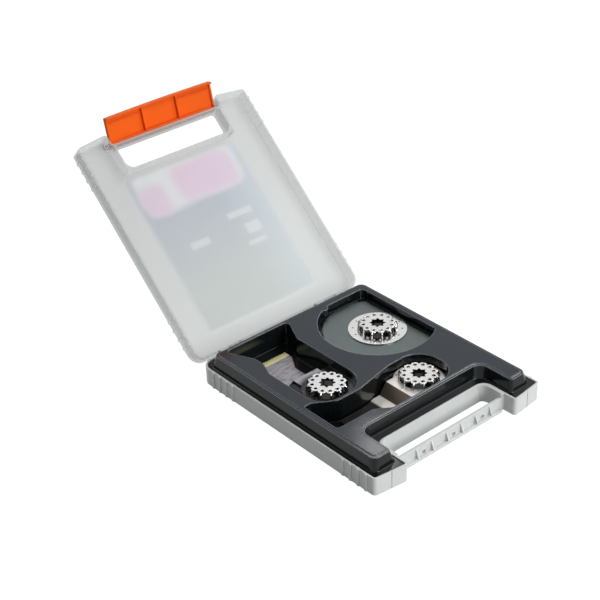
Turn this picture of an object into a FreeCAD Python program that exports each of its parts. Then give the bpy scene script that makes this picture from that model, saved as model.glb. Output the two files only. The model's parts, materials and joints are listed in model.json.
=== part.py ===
import FreeCAD, Part
import math
import os
from FreeCAD import Vector

# Storage case for oscillating-tool blades, shown open, in millimetres.
# X runs along the hinge, -Y is the handle side, +Z is up.
# The origin is the middle of the base's underside.

# Case
case_width = 163.2
case_depth = 188.8
lobe_width = 28.6
lobe_bow = 3.2
base_height = 15.0
lid_height = 12.6
rim_gap = 0.2
lid_open_deg = 137.4
front_corner_r = 3.0
back_corner_r = 10.0
lobe_corner_r = 2.5
shell_edge = 0.8
tight_r = 0.5
lobe_groove_width = 0.9
lobe_groove_depth = 0.5

# Base shell
floor_t = 1.6
rim_t = 1.3
lower_wall_t = 2.7
ledge_drop = 1.6
hole_side_in = 2.0
hole_back_in = 27.6
hole_slope = 1.6
hole_corner_r = 7.0
bar_front_in = 8.4
bar_drop = 3.8
bar_t = 2.4
bar_flange_z = 1.8
bar_flange_t = 2.0
bar_flange_out = 3.0
bar_flange_gap = 0.6
gusset_height = 7.0
gusset_t = 1.3
gusset_end_in = 12.5
gusset_side = 2.2
gusset_count = 6
catch_width = 3.4
catch_height = 2.2
catch_count = 3

# Grip ribs on the side walls of both shells
rib_count = 4
rib_pitch = 7.6
rib_end_gap = 5.5
rib_width = 2.0
rib_out = 0.7

# Lid shell
panel_t = 1.6
lid_wall_t = 1.6
lid_hole_side_in = 2.2
lid_hole_back_in = 29.6
lid_bar_in = 8.0
lid_strip_out = 4.6
front_bow = 2.0

# Lid hinge
hinge_out = 0.6
hinge_rise = 0.6
pin_r = 1.0
pin_play = 0.05
press_play = 0.02
knuckle_r = 2.2
knuckle_play = 0.35
hinge_side_in = 33.6
lid_knuckle_len = 12.0
base_knuckle_len = 8.0
knuckle_gap = 0.4

# Latch
latch_in = 3.8
latch_drop = 5.6
latch_open_deg = 54.5
latch_side_gap = 1.9
latch_foot_z = 0.4
latch_t = 1.8
latch_barrel_r = 2.0
latch_hook_t = 1.3
latch_hook_in = 3.4
latch_side_in = 1.2
latch_side_t = 1.6
latch_rib_in = 0.6
latch_rib_x = 16.5
latch_rib_t = 1.0
latch_lip_drop = 4.4
latch_lip_t = 1.0
rod_boss_r = 2.6
rod_boss_len = 3.0

# Blade tray
tray_rise = 9.4
tray_step = 0.8
tray_step_width = 1.8
tray_t = 0.9
tray_side_in = 6.8
tray_back_in = 8.4
tray_front_in = 7.1
tray_lobe_in = 6.3
tray_notch_in = 37.9
tray_draft = 2.6
tray_seat_gap = 0.1
tray_edge_gap = 0.4
tray_corner_r = 5.0
tray_lobe_r = 3.0
tray_notch_r = 8.0
tray_edge = 0.4
pocket_draft = 0.8
pocket_end_room = 12.0
wide_pocket_side = 20.0
wide_pocket_waist_from = 36.0
wide_pocket_waist_to = 49.0
wide_pocket_back_in = 3.5
wide_pocket_end = 30.5
narrow_pocket_in = 5.3
narrow_pocket_bend = 1.8
segment_play = 2.6
segment_pocket_side = 0.9
segment_wall_gap = 2.4
segment_back_gap = 1.4
segment_nub_r = 4.0
segment_nub_deg = 111.0
segment_corner_in = 13.0
segment_wall_down = 30.0
pocket_ridge = 2.3

# Star hub, the same on all three blades
hub_plate_r = 11.0
hub_lobe_r = 3.1
hub_lobes = 12
hub_hole_r = 1.3
hub_star_points = 8
hub_star_out_r = 6.8
hub_star_in_r = 4.9
hub_plate_t = 1.0
hub_height = 5.0
hub_leg_width = 2.4
hub_leg_t = 1.2
hub_leg_top_r = 12.2
hub_leg_foot_r = 14.1
hub_well_r = 13.6
spot_sides = 6
lobe_sides = 4

# Segment blade
segment_side_in = 38.1
segment_back_in = 59.9
segment_hub_in = 0.7
segment_r = 42.6
segment_t = 0.9
segment_flat = 22.5
segment_teeth = 72
segment_tooth_depth = 0.9
segment_eye_r = 17.8
flange_r = 22.6
flange_t = 0.9
weld_r = 1.0
weld_t = 0.15

# Plunge blades, along their own axis from the hub
plunge_t = 1.2
plunge_end_r = 18.8
tooth_pitch = 2.0
tooth_depth = 1.3
strip_len = 6.2
weld_count = 6

# Wide plunge blade
wide_side_in = 44.1
wide_back_in = 92.9
wide_hub_in = 0.7
wide_neck = 11.5
wide_drop = 10.0
wide_crank = 24.0
wide_crank_run = 8.0
wide_length = 69.0
wide_width = 35.0
wide_waist = 9.6
wide_waist_to = 47.0
wide_flare_to = 60.0

# Narrow plunge blade
narrow_side_in = 101.8
narrow_front_in = 60.8
narrow_hub_in = 2.5
narrow_neck = 13.8
narrow_drop = 8.9
narrow_crank = 19.8
narrow_crank_run = 6.5
narrow_length = 69.0
narrow_width = 20.0
narrow_neck_to = 33.0
narrow_taper_to = 45.0

# Label on the outside of the lid
label_side_in = 26.6
label_front_in = 34.4
label_back_in = 16.4
label_t = 0.25
label_corner_r = 3.0

# Clearance under each blade, and how far a cut runs past a face
seat_gap = 0.3
over = 1.0

half_w = case_width / 2
half_d = case_depth / 2
lobe_x = half_w - lobe_width
lobe_y = -half_d - lobe_bow
lid_rim_z = base_height + rim_gap
closed_height = lid_rim_z + lid_height
panel_z = closed_height - panel_t
ledge_z = base_height - ledge_drop

# Handle hole and bar of both shells
hole_half_width = lobe_x - hole_side_in
hole_back_y = -half_d + hole_back_in
bar_front_y = -half_d + bar_front_in
bar_top_z = base_height - bar_drop
lid_hole_half_width = lobe_x - lid_hole_side_in
lid_hole_back_y = -half_d + lid_hole_back_in
lid_bar_y = -half_d + lid_bar_in

# Hinge and latch axes
hinge_x = half_w - hinge_side_in
hinge_y = half_d + hinge_out
hinge_z = base_height + hinge_rise
latch_y = -half_d + latch_in
latch_z = closed_height - latch_drop
latch_half_width = lobe_x - latch_side_gap

# Tray edges and hub places
tray_top_z = base_height + tray_rise
tray_rim_z = tray_top_z - tray_edge
tray_half_width = half_w - tray_side_in
tray_back_y = half_d - tray_back_in
tray_front_y = -half_d + tray_front_in
tray_lobe_x = lobe_x + tray_lobe_in
tray_notch_y = -half_d + tray_notch_in
segment_x = half_w - segment_side_in
segment_y = half_d - segment_back_in
segment_hub_z = tray_top_z - segment_hub_in
wide_x = -half_w + wide_side_in
wide_y = half_d - wide_back_in
wide_hub_z = tray_top_z - wide_hub_in
narrow_x = -half_w + narrow_side_in
narrow_y = -half_d + narrow_front_in
narrow_hub_z = tray_top_z - narrow_hub_in


def offset_outline(points, inset):
    """Corners of a counter-clockwise outline moved inwards by inset."""
    moved = []
    count = len(points)
    for i in range(count):
        before = Vector(*points[i - 1])
        here = Vector(*points[i])
        after = Vector(*points[(i + 1) % count])
        d1 = (here - before).normalize()
        d2 = (after - here).normalize()
        n1 = Vector(-d1.y, d1.x, 0)
        n2 = Vector(-d2.y, d2.x, 0)
        turn = d1.x * d2.y - d1.y * d2.x
        a = here + n1 * inset
        b = here + n2 * inset
        along = ((b.x - a.x) * d2.y - (b.y - a.y) * d2.x) / turn
        moved.append((a + d1 * along, turn > 0))
    return moved


def outline(corners, z, inset=0, round_inset=None):
    """Closed wire with rounded corners. Each corner is (x, y, radius)."""
    change = inset if round_inset is None else round_inset
    moved = offset_outline([(x, y, 0) for x, y, r in corners], inset)
    count = len(moved)
    starts = []
    ends = []
    middles = []
    for i in range(count):
        here, convex = moved[i]
        r = corners[i][2] - change if convex else corners[i][2] + change
        r = max(r, tight_r)
        before = (moved[i - 1][0] - here).normalize()
        after = (moved[(i + 1) % count][0] - here).normalize()
        half = before.getAngle(after) / 2
        reach = r / math.tan(half)
        bisector = (before + after).normalize()
        centre = here + bisector * (r / math.sin(half))
        starts.append(here + before * reach)
        ends.append(here + after * reach)
        middles.append(centre - bisector * r)
    lift = Vector(0, 0, z)
    edges = []
    for i in range(count):
        arc = Part.Arc(starts[i] + lift, middles[i] + lift, ends[i] + lift)
        edges.append(arc.toShape())
        after = starts[(i + 1) % count]
        edges.append(Part.makeLine(ends[i] + lift, after + lift))
    return Part.Wire(edges)


def prism(corners, z0, z1, inset=0):
    """Upright solid on a rounded outline."""
    face = Part.Face(outline(corners, z0, inset))
    return face.extrude(Vector(0, 0, z1 - z0))


def drafted(corners, z0, inset0, z1, inset1):
    """Solid between one outline at two heights, both with the radii at z1."""
    wires = [outline(corners, z0, inset0, inset1), outline(corners, z1, inset1)]
    return Part.makeLoft(wires, True, True)


def block(x0, x1, y0, y1, z0, z1):
    """Box between two corners."""
    return Part.makeBox(x1 - x0, y1 - y0, z1 - z0, Vector(x0, y0, z0))


def cylinder_x(x0, x1, y, z, r):
    """Cylinder along X."""
    return Part.makeCylinder(r, x1 - x0, Vector(x0, y, z), Vector(1, 0, 0))


def tube_z(x, y, z0, z1, r_out, r_in):
    """Upright ring."""
    outer = Part.makeCylinder(r_out, z1 - z0, Vector(x, y, z0))
    inner = Part.makeCylinder(r_in, z1 - z0, Vector(x, y, z0))
    return outer.cut(inner)


def side_profile(points, x0, x1):
    """Solid whose (y, z) section runs from x0 to x1."""
    corners = [Vector(x0, y, z) for y, z in points]
    face = Part.Face(Part.makePolygon(corners + corners[:1]))
    return face.extrude(Vector(x1 - x0, 0, 0))


def bowed_band(half, y_front, depth, bow, z0, z1):
    """Strip along X whose front and back curve forward in the middle."""
    ends = [Vector(-half, y_front, z0), Vector(half, y_front, z0)]
    middle = Vector(0, y_front - bow, z0)
    back = Vector(0, depth, 0)
    front_arc = Part.Arc(ends[0], middle, ends[1]).toShape()
    back_arc = Part.Arc(ends[1] + back, middle + back, ends[0] + back).toShape()
    sides = [
        Part.makeLine(ends[1], ends[1] + back),
        Part.makeLine(ends[0] + back, ends[0]),
    ]
    wire = Part.Wire([front_arc, sides[0], back_arc, sides[1]])
    return Part.Face(wire).extrude(Vector(0, 0, z1 - z0))


def spread(count, pitch, middle):
    """Places of a row about its middle."""
    return [middle + (i - (count - 1) / 2) * pitch for i in range(count)]


def side_ribs(z0, z1):
    """Vertical grip ribs near the ends of both side walls."""
    ribs = []
    for side in (-1, 1):
        for end in (-1, 1):
            for i in range(rib_count):
                radius = back_corner_r if end > 0 else front_corner_r
                y = end * (half_d - radius - rib_end_gap - i * rib_pitch)
                x0, x1 = sorted((side * (half_w - rim_t / 2), side * (half_w + rib_out)))
                ribs.append(block(x0, x1, y - rib_width / 2, y + rib_width / 2, z0, z1))
    return ribs


# Outlines shared by the base, the lid and the tray
front_left = (-half_w, -half_d, front_corner_r)
front_right = (half_w, -half_d, front_corner_r)
back_right = (half_w, half_d, back_corner_r)
back_left = (-half_w, half_d, back_corner_r)


def case_outline(points_between):
    """Case outline with the given corners between the two lobes."""
    left = (-lobe_x, lobe_y, lobe_corner_r)
    right = (lobe_x, lobe_y, lobe_corner_r)
    middle = [left] + points_between + [right]
    return [front_left] + middle + [front_right, back_right, back_left]


base_corners = case_outline([
    (-lobe_x, bar_front_y, lobe_corner_r / 2),
    (-hole_half_width, bar_front_y, lobe_corner_r / 2),
    (-hole_half_width, hole_back_y, hole_corner_r),
    (hole_half_width, hole_back_y, hole_corner_r),
    (hole_half_width, bar_front_y, lobe_corner_r / 2),
    (lobe_x, bar_front_y, lobe_corner_r / 2),
])
cavity_corners = case_outline([
    (-lobe_x, hole_back_y, hole_corner_r),
    (lobe_x, hole_back_y, hole_corner_r),
])
lid_corners = case_outline([
    (-lobe_x, lid_bar_y - lid_wall_t, lobe_corner_r),
    (lobe_x, lid_bar_y - lid_wall_t, lobe_corner_r),
])
tray_corners = [
    (-tray_half_width, tray_front_y, tray_corner_r),
    (-tray_lobe_x, tray_front_y, tray_lobe_r),
    (-tray_lobe_x, tray_notch_y, tray_notch_r),
    (tray_lobe_x, tray_notch_y, tray_notch_r),
    (tray_lobe_x, tray_front_y, tray_lobe_r),
    (tray_half_width, tray_front_y, tray_corner_r),
    (tray_half_width, tray_back_y, tray_corner_r),
    (-tray_half_width, tray_back_y, tray_corner_r),
]


# Lid hinge: base knuckles outside, lid knuckle between them
def knuckle(x0, x1, lug_z0, lug_z1):
    """Barrel with the lug that joins it to a back wall."""
    barrel = cylinder_x(x0, x1, hinge_y, hinge_z, knuckle_r)
    lug = block(x0, x1, half_d - rim_t, hinge_y, lug_z0, lug_z1)
    return barrel.fuse(lug)


def base_knuckle_spans():
    """X spans of the four base knuckles."""
    spans = []
    for side in (-1, 1):
        inner = lid_knuckle_len / 2 + knuckle_gap
        outer = inner + base_knuckle_len
        for a, b in ((-outer, -inner), (inner, outer)):
            spans.append((side * hinge_x + a, side * hinge_x + b))
    return spans


def lid_knuckle_spans():
    """X spans of the two lid knuckles."""
    half = lid_knuckle_len / 2
    return [(side * hinge_x - half, side * hinge_x + half) for side in (-1, 1)]


def knuckle_relief(spans):
    """Room in the other shell's wall for each knuckle."""
    room = []
    for x0, x1 in spans:
        a = x0 - knuckle_gap
        b = x1 + knuckle_gap
        room.append(cylinder_x(a, b, hinge_y, hinge_z, knuckle_r + knuckle_play))
    return room


def base_shell():
    """Grey moulded base with its handle bar."""
    foot = drafted(base_corners, 0, shell_edge, shell_edge, 0)
    body = prism(base_corners, shell_edge, base_height).fuse(foot)
    low = prism(cavity_corners, floor_t, base_height, lower_wall_t)
    high = prism(cavity_corners, ledge_z, base_height + over, rim_t)
    body = body.cut([low, high])

    # Handle bar: a wall on a flange, with gussets between them
    flange_top = bar_flange_z + bar_flange_t
    back = bar_front_y + bar_t
    front = bar_front_y - bar_flange_out
    wall = block(-lobe_x, lobe_x, bar_front_y, back, bar_flange_z, bar_top_z)
    half = latch_half_width - latch_side_t - bar_flange_gap
    flange = block(-half, half, front, back, bar_flange_z, flange_top)
    slope = [
        (hole_back_y, shell_edge),
        (hole_back_y, ledge_z),
        (hole_back_y - hole_slope, shell_edge),
    ]
    added = [wall, flange, side_profile(slope, -hole_half_width, hole_half_width)]
    gusset_pitch = 2 * (half - gusset_end_in) / (gusset_count - 1)
    section = [
        (bar_front_y, flange_top),
        (front, flange_top),
        (bar_front_y, flange_top + gusset_height),
    ]
    for x in spread(gusset_count, gusset_pitch, gusset_side):
        added.append(side_profile(section, x - gusset_t / 2, x + gusset_t / 2))
    for x0, x1 in base_knuckle_spans():
        added.append(knuckle(x0, x1, hinge_z - knuckle_r, base_height))
    added += side_ribs(shell_edge, base_height)
    body = body.fuse(added)

    cuts = knuckle_relief(lid_knuckle_spans())
    for x0, x1 in base_knuckle_spans():
        bore = pin_r + press_play
        cuts.append(cylinder_x(x0 - over, x1 + over, hinge_y, hinge_z, bore))
    for x in spread(catch_count, 2 * gusset_pitch, gusset_side):
        z1 = flange_top + catch_height
        window = (x - catch_width / 2, x + catch_width / 2)
        cuts.append(block(*window, bar_front_y - over, back + over, flange_top, z1))
    middle = half_w - lobe_width / 2
    depth = half_d + lobe_bow / 2 - lobe_groove_depth
    for x in (-middle, middle):
        groove = (x - lobe_groove_width / 2, x + lobe_groove_width / 2)
        cuts.append(block(*groove, lobe_y - over, -depth, shell_edge, base_height + over))
    return body.cut(cuts).removeSplitter()


def hinge_pin(side):
    """Steel pin through one hinge."""
    half = lid_knuckle_len / 2 + knuckle_gap + base_knuckle_len
    x = side * hinge_x
    return cylinder_x(x - half, x + half, hinge_y, hinge_z, pin_r)


def lid_shell():
    """Clear moulded lid, in its closed place."""
    crown_z = closed_height - shell_edge
    crown = drafted(lid_corners, closed_height, shell_edge, crown_z, 0)
    body = prism(lid_corners, lid_rim_z, crown_z).fuse(crown)
    inside = prism(lid_corners, lid_rim_z - over, panel_z, lid_wall_t)
    body = body.cut(inside)

    # Handle hole with its own wall, and the strip over the latch
    half = lid_hole_half_width
    frame_half = half + lid_wall_t
    back = lid_hole_back_y + lid_wall_t
    front = lid_bar_y - lid_wall_t
    hole_corners = [
        (-half, lid_bar_y, lobe_corner_r),
        (half, lid_bar_y, lobe_corner_r),
        (half, lid_hole_back_y, hole_corner_r),
        (-half, lid_hole_back_y, hole_corner_r),
    ]
    frame = block(-frame_half, frame_half, front, back, lid_rim_z, panel_z)
    strip = bowed_band(lobe_x, front - lid_strip_out + front_bow,
                       lid_strip_out + lid_wall_t, front_bow, panel_z, closed_height)
    added = [frame, strip]
    for x0, x1 in lid_knuckle_spans():
        added.append(knuckle(x0, x1, lid_rim_z, hinge_z + knuckle_r))
    for side in (-1, 1):
        x0, x1 = sorted((side * lobe_x, side * (lobe_x + rod_boss_len)))
        added.append(cylinder_x(x0, x1, latch_y, latch_z, rod_boss_r))
    added += side_ribs(lid_rim_z, crown_z)
    body = body.fuse(added)

    cuts = [prism(hole_corners, lid_rim_z - over, closed_height + over)]
    cuts += knuckle_relief(base_knuckle_spans())
    for x0, x1 in lid_knuckle_spans():
        bore = pin_r + pin_play
        cuts.append(cylinder_x(x0 - over, x1 + over, hinge_y, hinge_z, bore))
    reach = lobe_x + lid_wall_t
    cuts.append(cylinder_x(-reach, reach, latch_y, latch_z, pin_r + press_play))
    return body.cut(cuts).removeSplitter()


def latch_rod():
    """Steel rod that the latch turns on, closed place."""
    reach = lobe_x + lid_wall_t
    return cylinder_x(-reach, reach, latch_y, latch_z, pin_r)


def latch_flap():
    """Orange latch, closed and hanging from its rod."""
    half = latch_half_width
    foot = latch_foot_z
    front = latch_y - latch_t / 2
    barrel = cylinder_x(-half, half, latch_y, latch_z, latch_barrel_r)
    plate = bowed_band(half, front, latch_t, front_bow, foot, latch_z)
    fill = block(-half, half, front, latch_y, latch_z - latch_barrel_r, latch_z)
    inner = front + latch_t
    hook_z = foot + latch_hook_t
    hook = bowed_band(half, front, latch_t + latch_hook_in, front_bow, foot, hook_z)
    lip_z = foot + latch_lip_drop
    lip_top = lip_z + latch_lip_t
    lip = bowed_band(half, front, latch_t + latch_rib_in, front_bow, lip_z, lip_top)
    gap = latch_rib_x
    lip = lip.cut(block(-gap, gap, front - front_bow - over, inner + over, lip_z, lip_top))
    parts = [barrel, plate, hook, fill, lip]
    for side in (-1, 1):
        x0, x1 = sorted((side * half, side * (half - latch_side_t)))
        parts.append(block(x0, x1, front, inner + latch_side_in, foot, latch_z))
        rib_x = side * latch_rib_x
        rib = (rib_x - latch_rib_t / 2, rib_x + latch_rib_t / 2)
        parts.append(block(*rib, front - front_bow / 2, inner + latch_rib_in, foot, latch_z))
    body = parts[0].fuse(parts[1:])
    bore = cylinder_x(-half - over, half + over, latch_y, latch_z, pin_r + pin_play)
    return body.cut(bore).removeSplitter()


def lid_label():
    """Printed label on the outside of the lid, closed place."""
    half = half_w - label_side_in
    front = -half_d + label_front_in
    back = half_d - label_back_in
    corners = [
        (-half, front, label_corner_r),
        (half, front, label_corner_r),
        (half, back, label_corner_r),
        (-half, back, label_corner_r),
    ]
    return prism(corners, closed_height, closed_height + label_t)


# Blade tray. Pocket corners are chosen from what lies in each pocket.
hub_room = plunge_end_r + 2 * pocket_draft
segment_room = segment_r + segment_play
wide_pocket_back = tray_back_y - wide_pocket_back_in
wide_flare_y = wide_y + wide_flare_to - 2 * pocket_draft
narrow_pocket_x = -tray_half_width + narrow_pocket_in


def pocket_space(corners, floor_z, grow):
    """Drafted space under a chamfered rim, its outline grown outwards."""
    low = drafted(corners, floor_z - grow, pocket_draft - grow, tray_rim_z, -grow)
    rim = drafted(corners, tray_top_z, -grow - tray_edge, tray_rim_z, -grow)
    return low.fuse(rim)


def segment_space(floor_z, grow):
    """Space for the round blade: a disc cut by a wall, with a square corner."""
    wall_x = segment_x + segment_flat + segment_wall_gap
    back = segment_y + segment_r + segment_back_gap
    place = Vector(segment_x - segment_pocket_side, segment_y, floor_z - grow)
    disc = Part.makeCylinder(segment_room + grow, tray_top_z - place.z, place)
    keep = block(-half_w, wall_x + grow, -half_d, back + grow, 0, closed_height)
    corners = [
        (segment_x - segment_corner_in, segment_y - segment_wall_down, tray_lobe_r),
        (wall_x, segment_y - segment_wall_down, tray_lobe_r),
        (wall_x, back, tray_lobe_r),
        (segment_x - segment_corner_in, back, tray_lobe_r),
    ]
    space = disc.common(keep).fuse(pocket_space(corners, floor_z, grow))
    nub_at = segment_r + seat_gap + segment_nub_r
    angle = math.radians(segment_nub_deg)
    nub_x = segment_x + nub_at * math.cos(angle)
    nub_y = segment_y + nub_at * math.sin(angle)
    nub = Part.makeCylinder(segment_nub_r - grow, closed_height, Vector(nub_x, nub_y, 0))
    return space.cut(nub)


def wide_pocket():
    """Corners of the wide blade's pocket: hub, channel and broad end."""
    x0 = wide_x - hub_room - tray_lobe_r
    x1 = wide_x + wide_pocket_side + pocket_draft * 2
    left = wide_x - wide_pocket_side + pocket_draft * 2
    y0 = wide_y - hub_room
    middle = (left + x1) / 2
    return [
        (x0, y0, hub_room - tray_lobe_r),
        (x1, y0, hub_room),
        (x1, wide_flare_y, tray_lobe_r),
        (middle + wide_pocket_end, wide_pocket_back, tray_lobe_r),
        (middle - wide_pocket_end, wide_pocket_back, tray_lobe_r),
        (left, wide_flare_y, tray_lobe_r),
        (left, wide_y + wide_pocket_waist_to, tray_lobe_r),
        (x0, wide_y + wide_pocket_waist_from, tray_lobe_r),
    ]


def narrow_pocket():
    """Corners of the narrow blade's pocket, which bends round the ridge."""
    x1 = narrow_x + hub_room
    y0 = narrow_y - hub_room + pocket_draft
    y1 = narrow_y + hub_room
    half = narrow_width / 2 + 2 * pocket_draft
    top = wide_y - hub_room - pocket_ridge
    shoulder_x = narrow_x - narrow_taper_to
    room = pocket_end_room
    return [
        (narrow_pocket_x, narrow_y - half, tray_lobe_r),
        (shoulder_x - room, narrow_y - half, tray_lobe_r),
        (shoulder_x, y0, tray_lobe_r),
        (x1, y0, hub_room - tray_lobe_r),
        (x1, y1, hub_room - tray_lobe_r),
        (narrow_x - room, y1 - pocket_draft, tray_lobe_r),
        (wide_x + hub_room, top + narrow_pocket_bend, tray_lobe_r),
        (wide_x + room, top, room),
        (wide_x - room + tray_lobe_r, top, room),
        (narrow_pocket_x + tray_lobe_r * 2, wide_y - room, tray_lobe_r / 2),
        (narrow_pocket_x, wide_y - room, tray_lobe_r / 2),
    ]


def stepped_space(corners, floor_z, grow, step):
    """Space of a plunge blade's pocket. The box step stays filled."""
    return pocket_space(corners, floor_z, grow).cut(step)


def blade_tray():
    """Black formed tray with three pockets."""
    flange_z = ledge_z + tray_seat_gap
    step_z = tray_top_z - tray_step
    inside_z = flange_z - over
    form = drafted(tray_corners, flange_z, -tray_draft, step_z, 0)
    step_in = tray_step_width
    step = prism(tray_corners, step_z, tray_rim_z, step_in)
    top = drafted(tray_corners, tray_top_z, step_in + tray_edge, tray_rim_z, step_in)
    form = form.fuse([step, top])
    hollow = drafted(tray_corners, inside_z, tray_t - tray_draft, step_z - tray_t, tray_t)
    flange = prism(cavity_corners, flange_z, flange_z + tray_t, rim_t + tray_edge_gap)

    wide_floor = wide_hub_z - hub_height - wide_drop - plunge_t - seat_gap
    narrow_floor = narrow_hub_z - hub_height - narrow_drop - plunge_t - seat_gap
    foot = hub_height + plunge_t + seat_gap
    segment_floor = segment_hub_z - hub_height - flange_t - segment_t - seat_gap
    wide_step_y = wide_y + wide_crank - 2 * pocket_draft
    narrow_step_x = narrow_x - narrow_crank + 2 * pocket_draft

    spaces = []
    for grow in (0, tray_t):
        wide_step = block(-half_w, half_w, -half_d, wide_step_y - grow,
                          -over, wide_hub_z - foot - grow)
        narrow_step = block(narrow_step_x + grow, half_w, -half_d, half_d,
                            -over, narrow_hub_z - foot - grow)
        spaces.append([
            segment_space(segment_floor, grow),
            stepped_space(wide_pocket(), wide_floor, grow, wide_step),
            stepped_space(narrow_pocket(), narrow_floor, grow, narrow_step),
        ])
    outer = [shape.common(block(-half_w, half_w, -half_d, half_d, 0, step_z))
             for shape in spaces[1]]
    body = form.fuse(flange).cut(hollow).fuse(outer)
    return body.cut(spaces[0]).removeSplitter()


# Blades
def spot(x, y, z, height, r):
    """Small upright round, made with a few flat sides."""
    points = []
    for i in range(spot_sides):
        angle = 2 * math.pi * i / spot_sides
        points.append(Vector(x + r * math.cos(angle), y + r * math.sin(angle), z))
    face = Part.Face(Part.makePolygon(points + points[:1]))
    return face.extrude(Vector(0, 0, height))


def star_hub(x, y, top_z):
    """Stamped hub: lobed plate with a star hole, on twelve legs."""
    foot_z = top_z - hub_height
    plate_z = top_z - hub_plate_t
    turn = 360 / hub_lobes
    half_turn = math.radians(turn / 2)
    valley = hub_plate_r * math.cos(half_turn)
    valley += math.sqrt(hub_lobe_r ** 2 - (hub_plate_r * math.sin(half_turn)) ** 2)
    reach = math.atan2(valley * math.sin(half_turn), valley * math.cos(half_turn) - hub_plate_r)

    def at(radius, angle):
        return Vector(x + radius * math.cos(angle), y + radius * math.sin(angle), plate_z)

    rim = []
    for i in range(hub_lobes):
        angle = math.radians(i * turn)
        centre = at(hub_plate_r, angle)
        for k in range(lobe_sides):
            a = angle + reach * (2 * k / lobe_sides - 1)
            rim.append(centre + Vector(math.cos(a), math.sin(a), 0) * hub_lobe_r)
    star = []
    for i in range(hub_star_points):
        angle = 2 * math.pi * i / hub_star_points
        star.append(at(hub_star_out_r, angle))
        star.append(at(hub_star_in_r, angle + math.pi / hub_star_points))
    up = Vector(0, 0, hub_plate_t)
    plate = Part.Face(Part.makePolygon(rim + rim[:1])).extrude(up)
    hole = Part.Face(Part.makePolygon(star + star[:1])).extrude(up)
    section = [
        (hub_leg_top_r, plate_z),
        (hub_leg_foot_r, foot_z),
        (hub_leg_foot_r + hub_leg_t, foot_z),
        (hub_leg_top_r + hub_leg_t, plate_z),
    ]
    leg = side_profile(section, -hub_leg_width / 2, hub_leg_width / 2)
    added = []
    holes = [hole]
    for i in range(hub_lobes):
        degrees = i * turn
        piece = leg.copy()
        piece.rotate(Vector(0, 0, 0), Vector(0, 0, 1), degrees - 90)
        piece.translate(Vector(x, y, 0))
        added.append(piece)
        centre = at(hub_plate_r, math.radians(degrees))
        holes.append(spot(centre.x, centre.y, plate_z, hub_plate_t, hub_hole_r))
    return plate.cut(holes).fuse(added).removeSplitter()


def weld_spots(x, y, z, radius, count):
    """Raised weld spots in a ring."""
    spots = []
    for i in range(count):
        angle = 2 * math.pi * (i + 1 / 2) / count
        place = Vector(x + radius * math.cos(angle), y + radius * math.sin(angle), z)
        spots.append(spot(place.x, place.y, z, weld_t, weld_r))
    return Part.makeCompound(spots)


def segment_disc():
    """Round saw disc with one flat side."""
    z = segment_hub_z - hub_height - flange_t - segment_t
    flat_angle = math.acos(segment_flat / segment_r)
    first = math.ceil(flat_angle / (2 * math.pi) * segment_teeth)
    points = []
    for i in range(first, segment_teeth - first + 1):
        angle = 2 * math.pi * i / segment_teeth
        step = 2 * math.pi / segment_teeth
        root = segment_r - segment_tooth_depth
        pairs = ((segment_r, angle), (root, angle + step / 4))
        for r, a in pairs:
            points.append(Vector(segment_x + r * math.cos(a), segment_y + r * math.sin(a), z))
    face = Part.Face(Part.makePolygon(points + points[:1]))
    disc = face.extrude(Vector(0, 0, segment_t))
    eye = Part.makeCylinder(segment_eye_r, segment_t, Vector(segment_x, segment_y, z))
    return disc.cut(eye)


def segment_flange():
    """Bright ring that joins the disc to its hub."""
    top = segment_hub_z - hub_height
    return tube_z(segment_x, segment_y, top - flange_t, top, flange_r, hub_well_r)


def toothed_strip(half, start, length, z):
    """Tooth strip across the blade's end, along +Y from start."""
    points = [Vector(-half, start, z), Vector(half, start, z)]
    count = int(2 * half / tooth_pitch)
    pitch = 2 * half / count
    root = length - tooth_depth
    points.append(Vector(half, root, z))
    for i in range(count):
        x = half - i * pitch
        points.append(Vector(x - pitch / 4, length, z))
        points.append(Vector(x - pitch, root, z))
    face = Part.Face(Part.makePolygon(points + points[:1]))
    return face.extrude(Vector(0, 0, plunge_t))


def plunge_body(hub_z, drop, crank, run, half_points):
    """Cranked body along +Y, with its hub end at the origin."""
    top = hub_z - hub_height
    reach = half_points[-1][1]
    low = top - drop
    far = -plunge_end_r - over
    section = [
        (far, top),
        (crank, top),
        (crank + run, low),
        (reach, low),
        (reach, low - plunge_t),
        (crank + run - plunge_t / 2, low - plunge_t),
        (crank - plunge_t / 2, top - plunge_t),
        (far, top - plunge_t),
    ]
    side = plunge_end_r + over
    sheet = side_profile(section, -side, side)
    right = [Vector(half, y, 0) for half, y in half_points]
    left = [Vector(-half, y, 0) for half, y in reversed(half_points)]
    tall = Vector(0, 0, closed_height)
    blank = Part.Face(Part.makePolygon(right + left + right[:1])).extrude(tall)
    blank = blank.fuse(Part.makeCylinder(plunge_end_r, closed_height))
    body = sheet.common(blank)
    well = Part.makeCylinder(hub_well_r, closed_height)
    return body.cut(well).removeSplitter()


def placed(shape, x, y, degrees):
    """Shape turned about Z and moved to a hub's centre."""
    moved = shape.copy()
    moved.rotate(Vector(0, 0, 0), Vector(0, 0, 1), degrees)
    moved.translate(Vector(x, y, 0))
    return moved


def plunge_blade(name, x, y, degrees, hub_z, drop, crank, run, half_points, length):
    """All pieces of one plunge blade, by node name."""
    body = plunge_body(hub_z, drop, crank, run, half_points)
    half, start = half_points[-1]
    top = hub_z - hub_height
    strip = toothed_strip(half, start, length, top - drop - plunge_t)
    middle = (hub_leg_foot_r + hub_leg_t + plunge_end_r) / 2
    welds = weld_spots(0, 0, top, middle, weld_count)
    nodes = {"body": body, "teeth": strip, "welds": welds}
    pieces = {name + "_" + key: placed(s, x, y, degrees) for key, s in nodes.items()}
    pieces[name + "_hub"] = star_hub(x, y, hub_z)
    return pieces


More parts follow.
